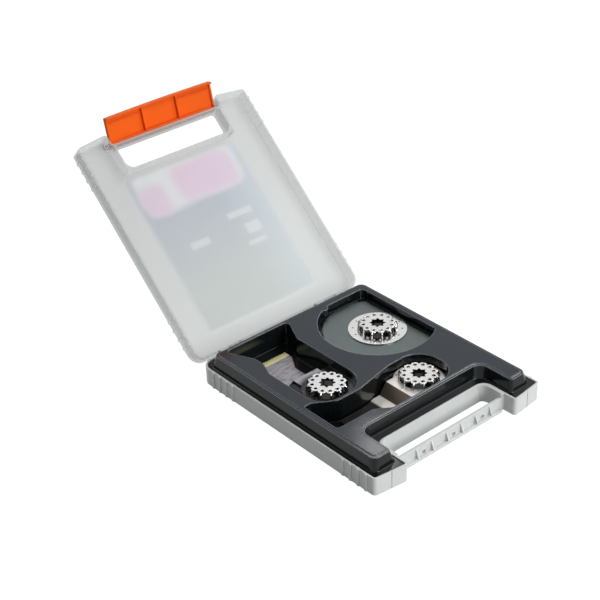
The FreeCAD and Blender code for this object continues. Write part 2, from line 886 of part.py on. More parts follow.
wide_half_points = [
    (wide_neck, 0),
    (wide_neck, wide_crank),
    (wide_waist, wide_crank + wide_crank_run),
    (wide_waist, wide_waist_to),
    (wide_width / 2, wide_flare_to),
    (wide_width / 2, wide_length - strip_len),
]
narrow_half_points = [
    (narrow_neck, 0),
    (narrow_neck, narrow_neck_to),
    (narrow_width / 2, narrow_taper_to),
    (narrow_width / 2, narrow_length - strip_len),
]


def opened(shape):
    """Lid piece swung open about the hinge."""
    moved = shape.copy()
    moved.rotate(Vector(0, hinge_y, hinge_z), Vector(1, 0, 0), -lid_open_deg)
    return moved


def swung(shape):
    """Latch swung open about its rod, closed lid."""
    moved = shape.copy()
    moved.rotate(Vector(0, latch_y, latch_z), Vector(1, 0, 0), -latch_open_deg)
    return moved


nodes = {
    "base_shell": base_shell(),
    "hinge_pin_left": hinge_pin(-1),
    "hinge_pin_right": hinge_pin(1),
    "lid_shell": opened(lid_shell()),
    "lid_label": opened(lid_label()),
    "latch_rod": opened(latch_rod()),
    "latch_flap": opened(swung(latch_flap())),
    "blade_tray": blade_tray(),
    "segment_disc": segment_disc(),
    "segment_flange": segment_flange(),
    "segment_hub": star_hub(segment_x, segment_y, segment_hub_z),
    "segment_welds": weld_spots(
        segment_x, segment_y, segment_hub_z - hub_height,
        (hub_leg_foot_r + hub_leg_t + flange_r) / 2, 2 * weld_count),
}
nodes.update(plunge_blade(
    "wide_blade", wide_x, wide_y, 0, wide_hub_z, wide_drop,
    wide_crank, wide_crank_run, wide_half_points, wide_length))
nodes.update(plunge_blade(
    "narrow_blade", narrow_x, narrow_y, 90, narrow_hub_z, narrow_drop,
    narrow_crank, narrow_crank_run, narrow_half_points, narrow_length))

os.makedirs("parts", exist_ok=True)
for name, shape in nodes.items():
    shape.exportStep("parts/" + name + ".step")
    print(name, "solids", len(shape.Solids), "valid", shape.isValid(),
          "volume", round(shape.Volume, 2))
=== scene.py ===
import json
import math

import bmesh
import bpy
from bpy.props import FloatProperty, FloatVectorProperty, IntProperty, PointerProperty
from mathutils import Matrix, Vector


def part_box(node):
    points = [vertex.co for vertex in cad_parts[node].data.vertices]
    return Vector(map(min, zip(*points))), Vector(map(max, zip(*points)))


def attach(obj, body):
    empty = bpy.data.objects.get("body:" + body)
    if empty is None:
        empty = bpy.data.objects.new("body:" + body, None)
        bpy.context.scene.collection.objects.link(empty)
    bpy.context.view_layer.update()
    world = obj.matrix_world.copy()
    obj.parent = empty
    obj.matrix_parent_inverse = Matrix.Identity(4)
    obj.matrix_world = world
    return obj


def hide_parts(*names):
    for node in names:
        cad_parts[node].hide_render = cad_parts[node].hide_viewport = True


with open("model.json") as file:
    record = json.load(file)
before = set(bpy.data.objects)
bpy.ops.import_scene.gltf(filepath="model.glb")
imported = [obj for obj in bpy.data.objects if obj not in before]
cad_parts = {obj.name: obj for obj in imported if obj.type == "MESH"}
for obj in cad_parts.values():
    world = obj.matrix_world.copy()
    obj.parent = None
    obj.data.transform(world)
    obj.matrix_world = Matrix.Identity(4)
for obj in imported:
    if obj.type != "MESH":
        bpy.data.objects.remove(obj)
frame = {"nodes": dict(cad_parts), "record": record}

bl_info = {
    "name": "Saw blade storage case",
    "version": (1, 0, 0),
    "blender": (4, 5, 0),
    "location": "3D View > Sidebar > Blade case",
    "description": "Looks of an open storage case with three oscillating-tool blades",
    "category": "Object",
}

MM = 0.001

# Lid: its patterns are laid out on the shut lid, so places on the open one are turned
# back about its joint
LID_JOINT = next(joint for joint in frame["record"]["behaviour"]["joints"]
                 if joint["name"] == "lid_hinge")
LID_HINGE = Vector(LID_JOINT["pos_m"])
LID_TURN = math.radians(LID_JOINT["range_deg"][1])
LID_LIGHT_FADE = (-0.11, 0.10)  # X + Y on the lid, between which its tint changes: painted light, darker at the handle end and lighter near the hinge
LID_CLOUD = (0.5, 0.5, 0.5)  # tint of its cloudy patches
LID_ROUGHNESS = 0.5  # frosted all over
LID_GLOW = 0.5  # share of its light that comes through from behind
WALL_COVER = 0.7  # what a lid wall hides, beside a flat panel
PANEL_TURN = (0.3, 0.8)  # how squarely a face lies in the lid's plane, wall to panel

# Label, in mm on the shut lid: middle, half size, rounding and softness of each block
LABEL_AREA = ((0.0, 9.0), (50.0, 64.0), 3.0, 2.2)
LABEL_BAND = ((3.0, -40.0), (38.0, 9.0), 10.0, 3.0)
LABEL_SHAPES = (
    ((17.0, -39.0), (20.0, 8.0), 9.0, 3.2),
    ((-34.0, -33.0), (4.5, 6.0), 7.0, 3.2),
)
LABEL_BLOCKS = (
    ((-22.0, 9.0), (8.0, 1.8), 0.8, 1.3),
    ((24.0, -2.0), (11.0, 1.6), 0.8, 1.3),
    ((29.0, 13.0), (6.0, 3.5), 0.8, 1.3),
    ((26.0, 25.0), (8.0, 0.7), 0.8, 1.3),
)
FIELD_FADE = (-0.020, 0.045)  # Y on the lid, from the field's colour to its fade
SIDE_FADE = (0.015, 0.050)  # X on the lid, from the field to its pale side
SIDE_SHARE = 0.6  # how far the pale side takes over
WANDER_SCALE = 30.0  # how finely the outlines of band and shapes wander
WANDER = (0.006, 0.006, 0.0)  # and how far

# Tray: painted shade on its walls, a painted highlight on its top rims
TRAY_RIM = (0.022, 0.023)  # heights between which its walls become its flat top
TRAY_TURN = (0.3, 0.9)  # how far up its faces turn, wall to flat
TRAY_DUST = (0.3, 0.3, 0.3)  # tint of its specks
TRAY_SCUFF = 0.1  # how much rougher a scuff is

# Steel
PIN_COLOUR = (0.6, 0.6, 0.6)
STEEL_SCUFF = 0.14  # how much rougher a scuff is
STEEL_SHADE_TURN = (0.1, 0.9)  # how far up faces turn, from painted shade on the side to the bright flat
BEND_TURN = (0.7, 0.98)  # the same on the narrow blade, from painted shade on its bend to flat
NARROW_SHADE_FADE = (-0.0165, -0.0145)  # X on the narrow blade, from full painted shade to bright steel
STREAK_STRETCH = (0.25, 1.0, 1.0)  # streaks run along X, where the noise is stretched
STREAK_SCALE = 560.0
STREAK_FADE = (0.48, 0.62)  # noise values between which a streak starts and is full
STREAK_SHARE = 0.85  # how far a full streak takes over
HUB_SHADOW_FADE = (0.0185, 0.0225)  # distances from the wide hub where its painted shadow fades
HUB_SHADOW_SHARE = 0.9  # how far the painted shadow takes over inside them

# Wear, and the edge mask that places painted highlights and painted shade
EDGE_TURN = (0.999, 0.80)  # cosines of an edge's softened turn, from no edge to a full edge
SCUFF_SPAN = (0.54, 0.70)  # noise values from clean to scuffed
SPECK_SPAN = (0.58, 0.68)  # and from clean to specked

# Each hub's body, its weld spots' node and slot, and their ring: radius, count, turn
BLADES = {
    "segment_hub": (
        "segment_blade", "segment_welds", "hub_steel", 0.01895, 12, 15.0),
    "wide_blade_hub": (
        "wide_blade", "wide_blade_welds", "blade_steel", 0.01705, 6, 30.0),
    "narrow_blade_hub": (
        "narrow_blade", "narrow_blade_welds", "blade_steel", 0.01705, 6, 0.0),
}
LOBE_POINTS = 14  # points along one lobe's share of the rim
LEG_REACH = 0.0014  # how far past the hole circle a leg leaves the plate
LEG_TOP = -0.6  # height of a leg's top over the plate's, in plate thicknesses
LEG_KNEE = -1.2  # and of its knee
SPOT_TAPER = 0.6  # a weld spot's top radius beside its bottom radius

# Floor
FLOOR_HALF = 6.0  # half its width
FLOOR_DROP = 0.0002  # keeps the floor just under the case
FLOOR_COLOUR = (0.45, 0.45, 0.45, 1.0)
FLOOR_GLOW = 1.16  # strength of its plain white
FLOOR_WHITE = 0.88  # share of plain white in what is seen of it

# Studio
BRIGHT_SIDE = Vector((0.75, -0.25, 0.6)).normalized()
STUDIO_LIGHT = (0.1, 1.5)  # light from the far side and the bright one, times the fill
STUDIO_TURN = (-0.6, 0.8)  # cosines to the bright side between which it changes

# Lamps: place, target, size and power, as a share of the key's. The tray's front left
# corner mirrors the small window
LAMPS = {
    "key_lamp": ((0.75, -0.35, 1.2), (0.0, 0.0, 0.02), 0.8, 1.0),
    "front_lamp": ((0.1, -1.3, 0.5), (0.0, 0.0, 0.02), 0.7, 1.55),
    "back_lamp": ((-0.2, 1.3, 0.8), (0.0, 0.0, 0.05), 0.8, 0.7),
    "window_lamp": ((0.531, 0.556, 0.693), (-0.06, -0.08, 0.02), 0.055, 0.009),
}

# Camera: its place and axes were solved from the photograph
CAMERA_PLACE = Vector((-589.32369, -639.18017, 609.75954)) * MM
CAMERA_RIGHT = Vector((0.75636292, -0.65321874, -0.03493449))
CAMERA_UP = Vector((0.36335633, 0.37512303, 0.85279241))
CAMERA_BACK = Vector((-0.54395525, -0.65771422, 0.52108032))
CAMERA_CLIP = (0.01, 50.0)
SENSOR_WIDTH = 36.0  # mm, as the lens is

# Kinds of node sockets, and a colour Mix node's slots
FLOAT, INT = "NodeSocketFloat", "NodeSocketInt"
VECTOR, COLOUR = "NodeSocketVector", "NodeSocketColor"
GEOMETRY, MATERIAL = "NodeSocketGeometry", "NodeSocketMaterial"
MIX_LOW, MIX_HIGH, MIX_RESULT = 6, 7, 2


# Settings

def colour(name, description, default):
    """A linear colour setting."""
    return FloatVectorProperty(
        name=name, description=description, default=default,
        subtype="COLOR", size=3, min=0.0, max=1.0)


def length(name, description, default):
    """A length setting in metres."""
    return FloatProperty(
        name=name, description=description, default=default,
        min=0.0, subtype="DISTANCE", unit="LENGTH")


def share(name, description, default):
    """A setting between 0 and 1."""
    return FloatProperty(
        name=name, description=description, default=default,
        min=0.0, max=1.0, subtype="FACTOR")


class ShellSettings(bpy.types.PropertyGroup):
    """Moulded base, lid and latch."""
    base_colour: colour("Base", "Grey of the moulded base", (0.53, 0.55, 0.54))
    # The lid's two tints are painted light: lighter at its right near the hinge, darker
    # at its left near the handle
    lid_lit_colour: colour(
        "Lid", "Tint of the lid at its right near the hinge", (0.70, 0.725, 0.715))
    lid_shaded_colour: colour(
        "Lid end", "Tint of the lid at its left near the handle", (0.58, 0.60, 0.595))
    lid_cover: share("Lid cover", "How much one face of the lid hides", 0.66)
    latch_colour: colour("Latch", "Orange of the latch", (0.80, 0.104, 0.003))
    edge_radius: length("Edge radius", "Softness of moulded edges", 0.0005)


class LabelSettings(bpy.types.PropertyGroup):
    """Printed label on the lid."""
    warm_colour: colour(
        "Shapes", "Rounded shapes near the handle", (0.98, 0.72, 0.94))
    cool_colour: colour("Field", "Field under the shapes", (0.50, 0.56, 0.68))
    fade_colour: colour(
        "Fade", "What the field fades to near the hinge", (0.66, 0.71, 0.69))
    pale_colour: colour(
        "Pale side", "What the field fades to on the right", (0.80, 0.88, 0.98))
    block_colour: colour(
        "Blocks", "Band behind the shapes, and small plain blocks", (0.98, 0.98, 1.0))
    ghost: share("Ghost", "How strongly the print shows through the lid", 0.35)
    film: share("Film", "How much the label hides", 0.3)


class TraySettings(bpy.types.PropertyGroup):
    """Formed tray."""
    # The flats' black is the sheet's own, raised a little as a painted reflection; the
    # walls' darker black is painted shade
    tray_colour: colour("Tray", "Black of the sheet's flats", (0.018, 0.0235, 0.0305))
    wall_shade_colour: colour(
        "Walls", "Black of its stretched walls", (0.004, 0.0055, 0.0058))
    # Painted highlight along the tray's top rims
    rim_highlight_colour: colour("Rub", "Pale rub along its rims", (0.44, 0.47, 0.50))
    gloss: share("Roughness", "Roughness of the formed tray", 0.12)
    edge_radius: length("Edge radius", "Softness of formed edges", 0.0009)


class HubSettings(bpy.types.PropertyGroup):
    """Stamped star hubs and weld spots."""
    lobes: IntProperty(
        name="Lobes", description="Lobes and pin holes of a hub",
        default=12, min=6, max=24)
    plate_radius: length("Hole circle", "Radius of the circle of pin holes", 0.011)
    lobe_radius: length("Lobe radius", "Radius of one lobe", 0.0031)
    hole_radius: length("Hole radius", "Radius of a pin hole", 0.0014)
    star_outer: length("Star tip", "Radius of the star hole's tips", 0.0066)
    star_inner: length("Star root", "Radius of the star hole's roots", 0.0046)
    plate: length("Plate", "Thickness of the plate", 0.001)
    foot_radius: length("Foot radius", "Where the legs stand", 0.0145)
    leg_width: length("Leg width", "Width of a leg", 0.0026)
    spot_radius: length("Weld spot", "Radius of a weld spot", 0.0008)
    hub_colour: colour("Hub", "Bright stamped steel", (0.84, 0.84, 0.83))
    spot_colour: colour("Weld", "Burnt weld spots", (0.20, 0.19, 0.18))


class BladeSettings(bpy.types.PropertyGroup):
    """Blade bodies and teeth."""
    disc_colour: colour("Disc", "Ground steel of the round blade", (0.16, 0.188, 0.184))
    body_colour: colour("Body", "Brushed body of the wide blade", (0.40, 0.39, 0.42))
    streak_colour: colour(
        "Streaks", "Grinding streaks on the wide blade", (0.20, 0.19, 0.20))
    plate_colour: colour(
        "Plate", "Bright plate of the narrow blade", (0.86, 0.84, 0.78))
    # The dark colour below is painted shade over the narrow blade's far end and teeth,
    # and a painted shadow round the wide hub
    blade_shade_colour: colour(
        "Coat", "Dark coat of the narrow blade's end and round the wide hub",
        (0.03, 0.028, 0.028))
    # Painted shade, tinted brown, on the narrow blade's steep bend
    riser_shade_colour: colour(
        "Riser", "Heat-browned bend of the narrow blade", (0.17, 0.14, 0.11))
    tooth_colour: colour("Teeth", "Coated teeth of the wide blade", (1.0, 0.88, 0.50))


class StageSettings(bpy.types.PropertyGroup):
    """Floor, light and camera."""
    key: FloatProperty(
        name="Key light", description="Power of the light from the front right",
        default=8.4, min=0.0, subtype="POWER")
    fill: share("Fill light", "Strength of the studio's walls", 0.5)
    lens: FloatProperty(
        name="Lens", description="Focal length", default=86.03, min=1.0, unit="CAMERA")


# CAD nodes

def top_middle(node):
    """Middle of a node's top in plan."""
    low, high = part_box(node)
    return Vector(((low[0] + high[0]) / 2, (low[1] + high[1]) / 2, high[2]))


def dress(material, *names):
    """Gives CAD nodes a material."""
    for name in names:
        node = frame["nodes"][name]
        node.data.materials.clear()
        node.data.materials.append(material)


# Node trees

def feed(tree, socket, value):
    """Gives an input a value, or a link from another socket."""
    if isinstance(value, bpy.types.NodeSocket):
        tree.links.new(value, socket)
    else:
        socket.default_value = value


def set_inputs(tree, node, **values):
    """Feeds a node's inputs by name."""
    for key, value in values.items():
        feed(tree, node.inputs[key.replace("_", " ")], value)


def add_node(tree, kind, **values):
    """New node with its attributes and inputs given by name."""
    node = tree.nodes.new(kind)
    for key, value in values.items():
        if hasattr(node, key):
            setattr(node, key, value)
        else:
            set_inputs(tree, node, **{key: value})
    return node


def math_node(tree, operation, a, b=0.0):
    """Math node on sockets or numbers."""
    node = add_node(tree, "ShaderNodeMath", operation=operation)
    for slot, value in enumerate((a, b)):
        feed(tree, node.inputs[slot], value)
    return node.outputs[0]


def vector_node(tree, operation, *values):
    """Vector Math node on sockets or vectors."""
    node = add_node(tree, "ShaderNodeVectorMath", operation=operation)
    for slot, value in enumerate(values):
        feed(tree, node.inputs[slot], value)
    number = operation in ("DOT_PRODUCT", "DISTANCE", "LENGTH")
    return node.outputs["Value" if number else "Vector"]


def ramp(tree, value, span, result=(0.0, 1.0)):
    """Number that runs through a result as a value runs through a span."""
    node = add_node(tree, "ShaderNodeMapRange", Value=value,
                    From_Min=span[0], From_Max=span[1],
                    To_Min=result[0], To_Max=result[1])
    return node.outputs["Result"]


def axis(tree, vector, name):
    """One axis of a vector."""
    split = tree.nodes.new("ShaderNodeSeparateXYZ")
    tree.links.new(vector, split.inputs[0])
    return split.outputs[name]


def noise(tree, place, scale, detail, roughness, distortion=0.0):
    """Noise texture's outputs."""
    node = add_node(tree, "ShaderNodeTexNoise", Vector=place, Scale=scale,
                    Detail=detail, Roughness=roughness, Distortion=distortion)
    return node.outputs


def object_place(tree):
    """Place in the object's own coordinates."""
    return tree.nodes.new("ShaderNodeTexCoord").outputs["Object"]


def facing_up(tree, turn):
    """0 to 1 as a face, at rest, turns up through a span of cosines."""
    normal = tree.nodes.new("ShaderNodeTexCoord").outputs["Normal"]
    return ramp(tree, axis(tree, normal, "Z"), turn)


def shut_place(tree, source, kind="POINT"):
    """A place or normal, turned back with the lid to its shut place."""
    back = Matrix.Rotation(LID_TURN, 3, "X")
    opened = tree.nodes.new("ShaderNodeTexCoord").outputs[source]
    shut = add_node(tree, "ShaderNodeMapping", vector_type=kind, Vector=opened,
                    Rotation=(LID_TURN, 0.0, 0.0))
    if kind == "POINT":
        shut.inputs["Location"].default_value = LID_HINGE - back @ LID_HINGE
    return shut.outputs[0]


def scaled(tint, by):
    """Colour times a number, at most 1."""
    return tuple(min(1.0, c * by) for c in tint)


def blend_colour(tree, factor, low, high):
    """Mix of two colours, given as sockets or linear tints, by a factor socket."""
    mix = add_node(tree, "ShaderNodeMix", data_type="RGBA")
    tree.links.new(factor, mix.inputs[0])
    for slot, value in ((MIX_LOW, low), (MIX_HIGH, high)):
        if not isinstance(value, bpy.types.NodeSocket):
            value = (*value, 1.0)
        feed(tree, mix.inputs[slot], value)
    return mix.outputs[MIX_RESULT]


def towards(tree, tone, tint, mask, strength):
    """Tone turned towards a tint where a mask is, as far as its strength."""
    return blend_colour(tree, math_node(tree, "MULTIPLY", mask, strength), tone, tint)


# Shared shader groups

def new_group(name, inputs, outputs):
    """Empty shader group with named sockets, and what it is given."""
    tree = bpy.data.node_groups.new(name, "ShaderNodeTree")
    for label, kind, default in inputs:
        socket = tree.interface.new_socket(label, in_out="INPUT", socket_type=kind)
        socket.default_value = default
    for label, kind in outputs:
        tree.interface.new_socket(label, in_out="OUTPUT", socket_type=kind)
    return tree, tree.nodes.new("NodeGroupInput").outputs


def use_group(tree, name, **values):
    """Outputs of one use of a shader group with its own values."""
    group = bpy.data.node_groups[name]
    return add_node(tree, "ShaderNodeGroup", node_tree=group, **values).outputs


def moulded_skin_group():
    """Soft edges, fine grain and slow waviness of a moulded surface."""
    tree, given = new_group(
        "moulded_skin",
        [("Edge Radius", FLOAT, 0.0005), ("Grain Scale", FLOAT, 1800.0),
         ("Grain Depth", FLOAT, 0.00002), ("Wave Scale", FLOAT, 40.0),
         ("Wave Depth", FLOAT, 0.0001)],
        [("Normal", VECTOR), ("Mottle", FLOAT), ("Edge", FLOAT)])
    place = object_place(tree)
    bevel = add_node(tree, "ShaderNodeBevel", samples=6, Radius=given["Edge Radius"])
    soft = bevel.outputs["Normal"]
    wave = noise(tree, place, given["Wave Scale"], detail=2.0, roughness=0.5)["Fac"]
    grain = noise(tree, place, given["Grain Scale"], detail=3.0, roughness=0.6)["Fac"]
    slow = add_node(tree, "ShaderNodeBump", Strength=1.0, Height=wave,
                    Distance=given["Wave Depth"], Normal=soft)
    fine = add_node(tree, "ShaderNodeBump", Strength=1.0, Height=grain,
                    Distance=given["Grain Depth"], Normal=slow.outputs["Normal"])
    face = tree.nodes.new("ShaderNodeNewGeometry").outputs["Normal"]
    edge = ramp(tree, vector_node(tree, "DOT_PRODUCT", soft, face), EDGE_TURN)
    add_node(tree, "NodeGroupOutput", Normal=fine.outputs["Normal"], Mottle=wave,
             Edge=edge)


def handling_wear_group():
    """Scuffs and dust specks: masks from 0, clean, to 1, worn."""
    tree, given = new_group(
        "handling_wear",
        [("Scuff Scale", FLOAT, 70.0), ("Speck Scale", FLOAT, 900.0)],
        [("Scuff", FLOAT), ("Speck", FLOAT)])
    place = object_place(tree)
    scuff = noise(tree, place, given["Scuff Scale"], detail=6.0, roughness=0.72,
                  distortion=1.4)["Fac"]
    speck = noise(tree, place, given["Speck Scale"], detail=2.0, roughness=0.5)["Fac"]
    add_node(tree, "NodeGroupOutput", Scuff=ramp(tree, scuff, SCUFF_SPAN),
             Speck=ramp(tree, speck, SPECK_SPAN))


def soft_box_group():
    """Mask of an upright rounded block in a plane, in metres."""
    tree, given = new_group(
        "soft_box",
        [("Place", VECTOR, (0.0, 0.0, 0.0)), ("Middle", VECTOR, (0.0, 0.0, 0.0)),
         ("Half Size", VECTOR, (0.01, 0.01, 0.0)), ("Round", FLOAT, 0.002),
         ("Soft", FLOAT, 0.001)],
        [("Mask", FLOAT)])
    offset = vector_node(tree, "SUBTRACT", given["Place"], given["Middle"])
    past = vector_node(tree, "SUBTRACT", vector_node(tree, "ABSOLUTE", offset),
                       given["Half Size"])
    outside = vector_node(tree, "MAXIMUM", past, (0.0, 0.0, 0.0))
    flat = vector_node(tree, "MULTIPLY", outside, (1.0, 1.0, 0.0))
    reach = vector_node(tree, "LENGTH", flat)
    edge = math_node(tree, "SUBTRACT", reach, given["Round"])
    steep = math_node(tree, "DIVIDE", edge, given["Soft"])
    add_node(tree, "NodeGroupOutput", Mask=ramp(tree, steep, (-1.0, 1.0), (1.0, 0.0)))


def label_block(tree, row, place):
    """Mask of one of the label's blocks."""
    (x, y), (half_x, half_y), rounding, soft = row
    return use_group(tree, "soft_box", Place=place, Middle=(x * MM, y * MM, 0.0),
                     Half_Size=(half_x * MM, half_y * MM, 0.0),
                     Round=rounding * MM, Soft=soft * MM)["Mask"]


def label_design_group(settings):
    """The label's print on the shut lid: a colour and where it lies."""
    tree, _given = new_group("label_design", [], [("Print", COLOUR), ("Area", FLOAT)])
    shut = shut_place(tree, "Object")
    swirl = noise(tree, shut, WANDER_SCALE, detail=1.0, roughness=0.5)["Color"]
    wandering = vector_node(tree, "MULTIPLY_ADD", swirl, WANDER, shut)
    field = ramp(tree, axis(tree, shut, "Y"), FIELD_FADE)
    tone = blend_colour(tree, field, settings.cool_colour, settings.fade_colour)
    side = ramp(tree, axis(tree, shut, "X"), SIDE_FADE, (0.0, SIDE_SHARE))
    tone = blend_colour(tree, side, tone, settings.pale_colour)
    for rows, tint, place in (((LABEL_BAND,), settings.block_colour, wandering),
                              (LABEL_SHAPES, settings.warm_colour, wandering),
                              (LABEL_BLOCKS, settings.block_colour, shut)):
        for row in rows:
            tone = blend_colour(tree, label_block(tree, row, place), tone, tint)
    area = label_block(tree, LABEL_AREA, shut)
    add_node(tree, "NodeGroupOutput", Print=tone, Area=area)


def build_shared_groups(scene):
    """Builds the groups that the materials share, unless they are there."""
    if "moulded_skin" not in bpy.data.node_groups:
        moulded_skin_group()
        handling_wear_group()
        soft_box_group()
        label_design_group(scene.case_label)


# Finishes

def start_material(name):
    """Material with one Principled shader."""
    material = bpy.data.materials.new(name)
    material.use_nodes = True
    tree = material.node_tree
    tree.nodes.clear()
    shader = tree.nodes.new("ShaderNodeBsdfPrincipled")
    add_node(tree, "ShaderNodeOutputMaterial", Surface=shader.outputs["BSDF"])
    return material, tree, shader


def show(tree, surface):
    """Makes a shader socket the material's surface."""
    set_inputs(tree, tree.nodes["Material Output"], Surface=surface)


def mixed(tree, factor, first, second):
    """Two shaders mixed by a number or a socket."""
    node = tree.nodes.new("ShaderNodeMixShader")
    for slot, value in enumerate((factor, first, second)):
        feed(tree, node.inputs[slot], value)
    return node.outputs["Shader"]


def skin(tree, shader, **values):
    """Outputs of the moulded skin, its normal wired to a shader."""
    surface = use_group(tree, "moulded_skin", **values)
    set_inputs(tree, shader, Normal=surface["Normal"])
    return surface


def mottled(tree, surface, tint, dark, light):
    """Tint that drifts between a darker and a lighter shade of itself."""
    low, high = scaled(tint, dark), scaled(tint, light)
    return blend_colour(tree, surface["Mottle"], low, high)


def roughen(tree, shader, mask, clean, worn):
    """Roughness from clean to worn as a mask goes from 0 to 1."""
    set_inputs(tree, shader, Roughness=ramp(tree, mask, (0.0, 1.0), (clean, worn)))


def base_plastic(settings):
    """Light grey satin plastic, with a painted highlight along its edges."""
    material, tree, shader = start_material("base_grey_plastic")
    surface = skin(tree, shader, Edge_Radius=settings.edge_radius, Wave_Depth=0.00006)
    wear = use_group(tree, "handling_wear", Scuff_Scale=60.0)
    # Painted highlight: a lighter copy of the grey along the edges
    edge_highlight = scaled(settings.base_colour, 1.45)
    dusty = scaled(settings.base_colour, 0.6)
    tone = mottled(tree, surface, settings.base_colour, dark=0.95, light=1.04)
    tone = towards(tree, tone, edge_highlight, surface["Edge"], strength=0.8)
    tone = towards(tree, tone, dusty, wear["Speck"], strength=0.16)
    set_inputs(tree, shader, Base_Color=tone)
    roughen(tree, shader, wear["Scuff"], clean=0.38, worn=0.52)
    return material


def lid_plastic(settings, label):
    """Frosted clear plastic, painted lighter towards the hinge as painted light, with
    the label's print showing faintly through it.
    """
    material, tree, shader = start_material("lid_frosted_plastic")
    surface = skin(tree, shader, Edge_Radius=settings.edge_radius, Wave_Depth=0.00008,
                   Wave_Scale=25.0)
    design = use_group(tree, "label_design")
    shut = shut_place(tree, "Object")
    # Painted light: the tint runs from darker at the handle end to lighter near the
    # hinge
    across = math_node(tree, "ADD", axis(tree, shut, "Y"), axis(tree, shut, "X"))
    tone = blend_colour(tree, ramp(tree, across, LID_LIGHT_FADE), settings.lid_shaded_colour,
                        settings.lid_lit_colour)
    tone = towards(tree, tone, LID_CLOUD, surface["Mottle"], strength=0.12)
    tone = towards(tree, tone, design["Print"], design["Area"], strength=label.ghost)
    set_inputs(tree, shader, Base_Color=tone, Roughness=LID_ROUGHNESS)
    glow = add_node(tree, "ShaderNodeBsdfTranslucent", Color=tone)
    body = mixed(tree, LID_GLOW, shader.outputs["BSDF"], glow.outputs["BSDF"])
    turn = axis(tree, shut_place(tree, "Normal", "NORMAL"), "Z")
    cover = ramp(tree, math_node(tree, "ABSOLUTE", turn), PANEL_TURN,
                 (settings.lid_cover * WALL_COVER, settings.lid_cover))
    clear = tree.nodes.new("ShaderNodeBsdfTransparent")
    show(tree, mixed(tree, cover, clear.outputs["BSDF"], body))
    return material


def latch_plastic(settings):
    """Orange satin plastic, with painted shade along its edges and in its moulded
    corners.
    """
    material, tree, shader = start_material("latch_orange_plastic")
    surface = skin(tree, shader, Edge_Radius=settings.edge_radius, Wave_Depth=0.00003)
    wear = use_group(tree, "handling_wear", Scuff_Scale=90.0)
    # Painted shade: a darker copy of the orange along edges and in corners
    line = scaled(settings.latch_colour, 0.45)
    tone = mottled(tree, surface, settings.latch_colour, dark=0.93, light=1.05)
    tone = towards(tree, tone, line, surface["Edge"], strength=0.65)
    set_inputs(tree, shader, Base_Color=tone, Specular_IOR_Level=0.12)
    roughen(tree, shader, wear["Scuff"], clean=0.42, worn=0.55)
    return material


def label_print(settings):
    """The label's own face, a film that thins out at its border."""
    material, tree, shader = start_material("label_print")
    surface = skin(tree, shader, Edge_Radius=0.0001, Wave_Depth=0.00004,
                   Grain_Depth=0.000005)
    design = use_group(tree, "label_design")
    film = math_node(tree, "MULTIPLY", design["Area"], settings.film)
    set_inputs(tree, shader, Base_Color=design["Print"], Alpha=film)
    roughen(tree, shader, surface["Mottle"], clean=0.42, worn=0.55)
    return material


def tray_plastic(settings):
    """Glossy black formed sheet: painted shade on its walls, a painted reflection in
    the black of its flats, dust specks and a painted highlight on its rims.
    """
    material, tree, shader = start_material("tray_black_sheet")
    surface = skin(tree, shader, Edge_Radius=settings.edge_radius, Wave_Depth=0.00022,
                   Wave_Scale=22.0, Grain_Depth=0.000004)
    wear = use_group(tree, "handling_wear", Scuff_Scale=45.0, Speck_Scale=700.0)
    # Painted shade: faces below the top or turned from up get the darker wall colour
    top = ramp(tree, axis(tree, object_place(tree), "Z"), TRAY_RIM)
    flat = math_node(tree, "MULTIPLY", top, facing_up(tree, TRAY_TURN))
    # Painted highlight: top edges are lightened towards the pale rim colour
    rim = math_node(tree, "MULTIPLY", surface["Edge"], top)
    tone = mottled(tree, surface, settings.tray_colour, dark=0.85, light=1.2)
    tone = blend_colour(tree, flat, settings.wall_shade_colour, tone)
    tone = towards(tree, tone, TRAY_DUST, wear["Speck"], strength=0.02)
    tone = towards(tree, tone, settings.rim_highlight_colour, rim, strength=0.8)
    set_inputs(tree, shader, Base_Color=tone, Specular_IOR_Level=0.32)
    smooth = settings.gloss
    roughen(tree, shader, wear["Scuff"], clean=smooth, worn=smooth + TRAY_SCUFF)
    return material


def start_metal(name, tint, roughness, spots=0.2, side=0.5):
    """Steel with soft edges, grain, darker spots and painted shade on its sides, and
    its tone.
    """
    material, tree, shader = start_material(name)
    surface = skin(tree, shader, Edge_Radius=0.00025, Grain_Scale=900.0,
                   Grain_Depth=0.000002, Wave_Depth=0.00003, Wave_Scale=120.0)
    wear = use_group(tree, "handling_wear", Scuff_Scale=150.0, Speck_Scale=800.0)
    pits = scaled(tint, 0.25)
    tone = mottled(tree, surface, tint, dark=0.92, light=1.06)
    tone = towards(tree, tone, pits, wear["Speck"], strength=spots)
    # Painted shade: faces turned from up get a darker copy of the tint
    tone = blend_colour(tree, facing_up(tree, STEEL_SHADE_TURN), scaled(tint, side), tone)
    set_inputs(tree, shader, Base_Color=tone, Metallic=1.0)
    roughen(tree, shader, wear["Scuff"], clean=roughness, worn=roughness + STEEL_SCUFF)
    return material, tree, shader, tone


def metal(name, tint, roughness, **values):
    """Plain steel finish."""
    return start_metal(name, tint, roughness, **values)[0]


def shaded_narrow_blade(settings):
    """Narrow blade: bright at its hub, with brown painted shade on its bend and dark
    painted shade towards its teeth.
    """
    material, tree, shader, tone = start_metal(
        "narrow_blade_steel", settings.plate_colour, roughness=0.36, spots=0.03)
    # Painted shade: faces of the bend turned from up get the brown riser colour
    tone = blend_colour(tree, facing_up(tree, BEND_TURN), settings.riser_shade_colour, tone)
    # Painted shade: the narrow blade turns dark past its bright patch
    shading = ramp(tree, axis(tree, object_place(tree), "X"), NARROW_SHADE_FADE, (1.0, 0.0))
    tone = blend_colour(tree, shading, tone, settings.blade_shade_colour)
    set_inputs(tree, shader, Base_Color=tone, Metallic=0.7)
    return material


